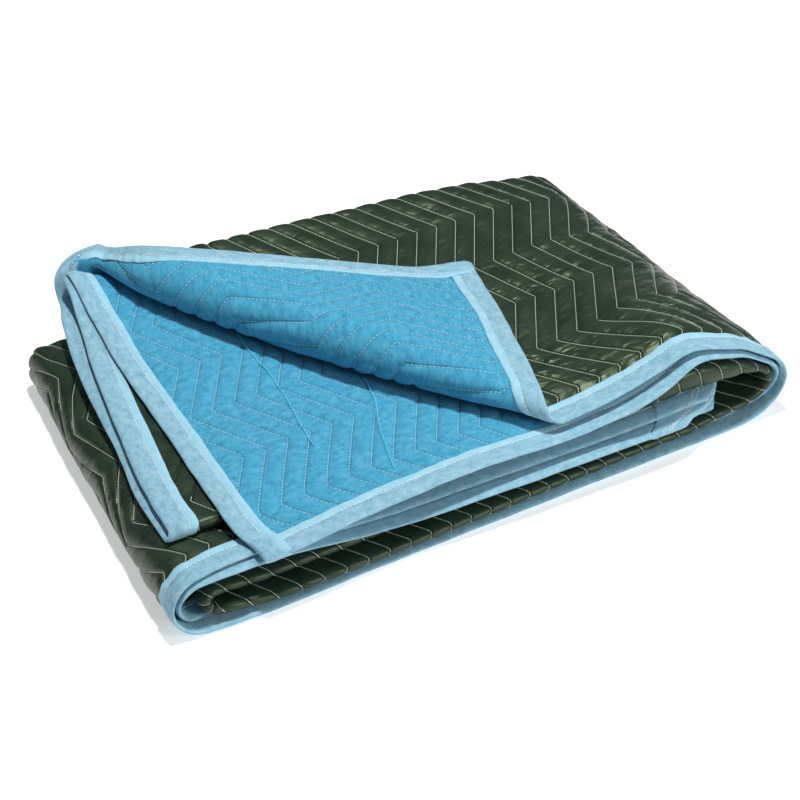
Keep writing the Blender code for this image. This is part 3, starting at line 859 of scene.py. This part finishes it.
def between(tree, value, stops):
    """A colour ramp over a value: (place, colour) stops."""
    ramp = tree.nodes.new("ShaderNodeValToRGB")
    elements = ramp.color_ramp.elements
    while len(elements) < len(stops):
        elements.new(0.5)
    for element, (place, colour) in zip(elements, stops):
        element.position = place
        element.color = (*colour, 1)
    tree.links.new(value, ramp.inputs["Fac"])
    return ramp.outputs["Color"]


def mixed(tree, factor, first, second):
    """Two colours mixed by a factor; each is a socket or a fixed colour."""
    node = tree.nodes.new("ShaderNodeMix")
    node.data_type = "RGBA"
    tree.links.new(factor, node.inputs["Factor"])
    for label, colour in (("A", first), ("B", second)):
        if isinstance(colour, tuple):
            node.inputs[label].default_value = (*colour, 1)
        else:
            tree.links.new(colour, node.inputs[label])
    return node.outputs["Result"]


def shader_group(name, source, results):
    """A new shader group that makes named values from one named vector."""
    group = bpy.data.node_groups.new(name, "ShaderNodeTree")
    group.interface.new_socket(source, in_out="INPUT", socket_type="NodeSocketVector")
    for label in results:
        group.interface.new_socket(label, in_out="OUTPUT", socket_type="NodeSocketFloat")
    given, made = group.nodes.new("NodeGroupInput"), group.nodes.new("NodeGroupOutput")
    return group, given.outputs[source], made.inputs


def fibre_group():
    """Non-woven felt: matted fibres, cloudy patches and a rough surface."""
    group, vector, made = shader_group("matted_fibres", "Vector", ("Fibres", "Clouds", "Height"))
    lengthwise = stretched_noise(group, vector, (260, 1000, 1), 4.0, 0.65)
    crosswise = stretched_noise(group, vector, (900, 300, 1), 4.0, 0.65)
    fibres = joined(group, "MAXIMUM", lengthwise, crosswise)
    clouds = stretched_noise(group, vector, (90, 140, 1), 6.0, 0.72)
    height = weighted(group, (fibres, 1), (clouds, 1.5))
    for label, value in (("Fibres", fibres), ("Clouds", clouds), ("Height", height)):
        group.links.new(value, made[label])
    return group


# Where the cloth is creased most: which seams and which widths, with the room in which the creases fade
CREASED = {"X": (9.0, 23.0, 5.0), "Y": (3.0, 12.0, 4.0)}
CREASED_OUTSIDE = 0.42  # share of the creases that is left outside either span


def crinkle_group():
    """Short creases drawn across the channels by the seams, most of them in the middle of the top run."""
    group, channel, made = shader_group("drawn_creases", "Channel", ("Creases",))
    fine = stretched_noise(group, channel, (0.9, 2.6, 1), 2.0, 0.5)
    broad = stretched_noise(group, channel, (0.9, 1.1, 1), 2.0, 0.5)
    crumpled = stretched_noise(group, channel, (0.25, 0.2, 1), 1.0, 0.5)
    share = joined(group, "MULTIPLY", crumpled, 1.6)
    for axis, (low, high, fade) in CREASED.items():
        half = 0.5 * (high - low)
        off_middle = distance_from(group, part_of(group, channel, axis), 0.5 * (low + high))
        inside = eased(group, off_middle, (half, half + fade), (1.0, CREASED_OUTSIDE))
        share = joined(group, "MULTIPLY", share, inside)
    creased = weighted(group, (fine, 0.35), (broad, 1))
    group.links.new(joined(group, "MULTIPLY", creased, share), made["Creases"])
    return group


def groove_group():
    """The narrow valley along each seam: 0 at the thread, 1 on the puffed channel."""
    group, channel, made = shader_group("seam_groove", "Channel", ("Height",))
    across = joined(group, "FRACT", part_of(group, channel, "X"))
    valley = eased(group, distance_from(group, across, 0.5), (0.38, 0.49), (1.0, 0.0))
    group.links.new(valley, made["Height"])
    return group


def hem_strip_group():
    """The strip of a tape between its hem and its stitch line: 1 on the strip, 0 elsewhere."""
    group, tape, made = shader_group("hem_strip", "Tape", ("Strip",))
    off_middle = distance_from(group, part_of(group, tape, "Y"), TAPE_HEM * INCH)
    strip = eased(group, off_middle, (0.70 * INCH, 0.74 * INCH), (0.0, 1.0), "LINEAR")
    group.links.new(strip, made["Strip"])
    return group


def uv(tree, name):
    """The coordinates of a UV map."""
    node = tree.nodes.new("ShaderNodeUVMap")
    node.uv_map = name
    return node.outputs["UV"]


def grouped(tree, group, map_name):
    """The results of a shader group that is fed with a UV map."""
    node = tree.nodes.new("ShaderNodeGroup")
    node.node_tree = group
    tree.links.new(uv(tree, map_name), node.inputs[0])
    return node.outputs


def new_material(name, roughness=0.5, sheen=0.0, sheen_tint=(1, 1, 1), specular=0.5):
    """A material, its node tree and its shader, with the values that are the same all over."""
    material = bpy.data.materials.new(name)
    material.use_nodes = True
    shader = material.node_tree.nodes["Principled BSDF"]
    shader.inputs["Roughness"].default_value = roughness
    shader.inputs["Sheen Weight"].default_value = sheen
    shader.inputs["Sheen Tint"].default_value = (*sheen_tint, 1)
    shader.inputs["Specular IOR Level"].default_value = specular
    return material, material.node_tree, shader


def add_surface(tree, shader, colour, layers):
    """The base colour, and bumps one on another: (height, strength, distance in metres) layers."""
    tree.links.new(colour, shader.inputs["Base Color"])
    normal = None
    for height, strength, distance in layers:
        bump = tree.nodes.new("ShaderNodeBump")
        bump.inputs["Strength"].default_value = strength
        bump.inputs["Distance"].default_value = distance
        tree.links.new(height, bump.inputs["Height"])
        if normal is not None:
            tree.links.new(normal, bump.inputs["Normal"])
        normal = bump.outputs["Normal"]
    tree.links.new(normal, shader.inputs["Normal"])


def green_satin(crinkles, grooves):
    """The face cloth: dark green woven polyester with a satin gleam, and painted sheen that makes it paler
    where it is creased.
    """
    material, tree, shader = new_material("green_satin", specular=0.44)
    shader.inputs["Specular Tint"].default_value = (0.84, 1.0, 0.62, 1)
    cloth = uv(tree, "cloth")
    creases = grouped(tree, crinkles, "channel")["Creases"]
    groove = grouped(tree, grooves, "channel")["Height"]
    weave = stretched_noise(tree, cloth, (2600, 420, 1), 2.0, 0.5)
    patches = noise(tree, cloth, 28.0, 3.0, 0.5)
    tone = weighted(tree, (patches, 0.6), (weave, 0.4))
    gloss = between(tree, tone, ((0.3, (0.32, 0.32, 0.32)), (0.7, (0.47, 0.47, 0.47))))
    tree.links.new(gloss, shader.inputs["Roughness"])
    # Painted sheen: the colour is made paler where the creases are, standing in for the satin's highlights
    tone = weighted(tree, (tone, 1), (creases, 0.26))
    colour = between(tree, tone, ((0.37, (0.006, 0.016, 0.011)), (0.76, (0.025, 0.044, 0.028))))
    layers = ((groove, 0.8, 0.0015), (creases, 0.8, 0.010), (weave, 0.2, 0.0003))
    add_surface(tree, shader, colour, layers)
    return material


def felt(name, fibres, shades, roughness, fine, coarse):
    """Non-woven felt, with its colour from dark shade to pale and the bump of its fibres."""
    material, tree, shader = new_material(name, roughness, 0.15, (0.8, 0.9, 1.0), 0.25)
    matted = grouped(tree, fibres, "cloth")
    tone = weighted(tree, (matted["Fibres"], fine), (matted["Clouds"], coarse))
    return material, tree, shader, between(tree, tone, shades), (matted["Height"], 0.55, 0.0007)


def blue_backing(fibres, crinkles, grooves):
    """The backing: blue felt, with painted shade that darkens it a little in the grooves of the seams."""
    shades = (
        (0.38, (0.026, 0.185, 0.315)),
        (0.52, (0.052, 0.328, 0.505)),
        (0.66, (0.132, 0.430, 0.580)),
    )
    material, tree, shader, colour, matted = felt("blue_backing", fibres, shades, 0.95, 0.45, 0.55)
    creases = grouped(tree, crinkles, "channel")["Creases"]
    groove = grouped(tree, grooves, "channel")["Height"]
    # Painted shade: the colour is mixed toward the darkest felt shade in the seam grooves
    lit = joined(tree, "ADD", joined(tree, "MULTIPLY", groove, 0.2), 0.8)
    colour = mixed(tree, lit, shades[0][1], colour)
    add_surface(tree, shader, colour, ((groove, 0.7, 0.0015), (creases, 0.25, 0.002), matted))
    return material


def binding_tape(fibres, strip):
    """The binding: pale blue felt tape, bluer between its hem and its stitch line."""
    shades = (
        (0.38, (0.155, 0.300, 0.372)),
        (0.50, (0.225, 0.438, 0.550)),
        (0.58, (0.300, 0.500, 0.600)),
        (0.68, (0.470, 0.530, 0.610)),
    )
    material, tree, shader, colour, matted = felt("binding_tape", fibres, shades, 0.9, 0.4, 0.6)
    share = joined(tree, "MULTIPLY", grouped(tree, strip, "cloth")["Strip"], 0.5)
    add_surface(tree, shader, mixed(tree, share, colour, (0.38, 0.70, 0.84)), (matted,))
    return material


# The rows of stitches: the thread and its colour, and their pitch, length and radius in inches
THREADS = {
    "green_stitches": ("sage_thread", (0.52, 0.58, 0.46), (0.17, 0.15, 0.018)),
    "blue_stitches": ("pale_thread", (0.42, 0.76, 0.88), (0.19, 0.115, 0.017)),
    "topstitches": ("white_thread", (0.80, 0.88, 0.90), (0.20, 0.14, 0.017)),
    "loose_threads": ("cyan_thread", (0.10, 0.62, 0.84), (0.05, 0.056, 0.032)),
}


def thread_material(name, colour):
    """Polyester thread, twisted."""
    material, tree, shader = new_material(name, 0.6, 0.2)
    place = tree.nodes.new("ShaderNodeTexCoord").outputs["Object"]
    dark = tuple(0.7 * part for part in colour)
    shade = between(tree, noise(tree, place, 900.0, 2.0, 0.5), ((0.3, dark), (0.7, colour)))
    tree.links.new(shade, shader.inputs["Base Color"])
    return material


# The studio, in metres and watts; the lamps point at the middle of the blanket
FLOOR_HALF = 14.0
LAMPS = {
    "name": ("key", "fill"),
    "place": ((0.1, 0.05, 2.7), (1.1, -2.1, 1.2)),
    "size": (0.25, 1.0),
    "power": (66.0, 30.0),
}

# The camera: where it looks and from how far in inches, its angles in degrees and its lens in millimetres
CAMERA = {
    "target": (13.2, 6.7, 2.0),
    "distance": 83.0,
    "azimuth": -28.6,
    "elevation": 37.7,
    "lens": 88.47,
    "sensor": 36.0,
}


def set_floor():
    """A pale floor that shines a little, so that it shows white."""
    mesh = bpy.data.meshes.new("floor")
    corners = [(FLOOR_HALF * x, FLOOR_HALF * y, 0) for x, y in ((-1, -1), (1, -1), (1, 1), (-1, 1))]
    mesh.from_pydata(corners, [], [(0, 1, 2, 3)])
    floor = placed("floor", mesh)
    material, _, shader = new_material("pale_floor", 0.9)
    shader.inputs["Base Color"].default_value = (0.86, 0.86, 0.86, 1)
    shader.inputs["Emission Color"].default_value = (1, 1, 1, 1)
    shader.inputs["Emission Strength"].default_value = 0.45
    mesh.materials.append(material)


def set_lights():
    """A key light overhead, a soft fill from the front, and a dim even surround."""
    world = bpy.data.worlds.new("studio")
    world.use_nodes = True
    surround = world.node_tree.nodes["Background"]
    surround.inputs["Color"].default_value = (0.93, 0.96, 1.0, 1)
    surround.inputs["Strength"].default_value = 0.15
    bpy.context.scene.world = world
    for name, place, size, power in zip(*LAMPS.values()):
        data = bpy.data.lights.new(name, "AREA")
        data.size = size
        data.energy = power
        lamp = placed(name, data)
        lamp.location = place
        lamp.rotation_euler = (-Vector(place)).to_track_quat("-Z", "Y").to_euler()


def set_camera():
    """The camera, in front on the left and well above."""
    azimuth, elevation = math.radians(CAMERA["azimuth"]), math.radians(CAMERA["elevation"])
    level = math.cos(elevation)
    back = Vector((math.sin(azimuth) * level, -math.cos(azimuth) * level, math.sin(elevation)))
    across = Vector((0, 0, 1)).cross(back).normalized()
    turned = Matrix((across, back.cross(across), back)).transposed().to_4x4()
    target = Vector(to_metres(np.array(CAMERA["target"])))
    turned.translation = target + CAMERA["distance"] * INCH * back
    data = bpy.data.cameras.new("camera")
    data.lens = CAMERA["lens"]
    data.sensor_width = CAMERA["sensor"]
    camera = placed("camera", data)
    camera.matrix_world = turned
    bpy.context.scene.camera = camera


def declare(faces, tapes, stitches):
    """Attach each piece to the root body, and hide the imported parts that the faces and tapes stand in
    for.
    """
    for face in faces:
        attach(face, "root")
        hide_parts("quilted_panel")
    for name, tape in tapes.items():
        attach(tape, "root")
        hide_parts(name)
    for piece in stitches:
        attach(piece, "root")


def main():
    fibres, crinkles, grooves = fibre_group(), crinkle_group(), groove_group()
    materials = {
        "green": green_satin(crinkles, grooves),
        "blue": blue_backing(fibres, crinkles, grooves),
    }
    tape_felt = binding_tape(fibres, hem_strip_group())
    faces = quilted_faces(materials)
    tapes, tacks = bindings(tape_felt)
    rows = (seam_lines("green"), seam_lines("blue"), topstitch_lines() + tacks, loose_lines())
    tree = stitch_tree()
    stitches = []
    for lines, (name, (thread, colour, sizes)) in zip(rows, THREADS.items()):
        stitches.append(stitched(name, lines, tree, thread_material(thread, colour), *sizes))
    declare(faces, tapes, stitches)
    bpy.context.scene.view_settings.view_transform = "Standard"
    set_floor()
    set_lights()
    set_camera()


main()
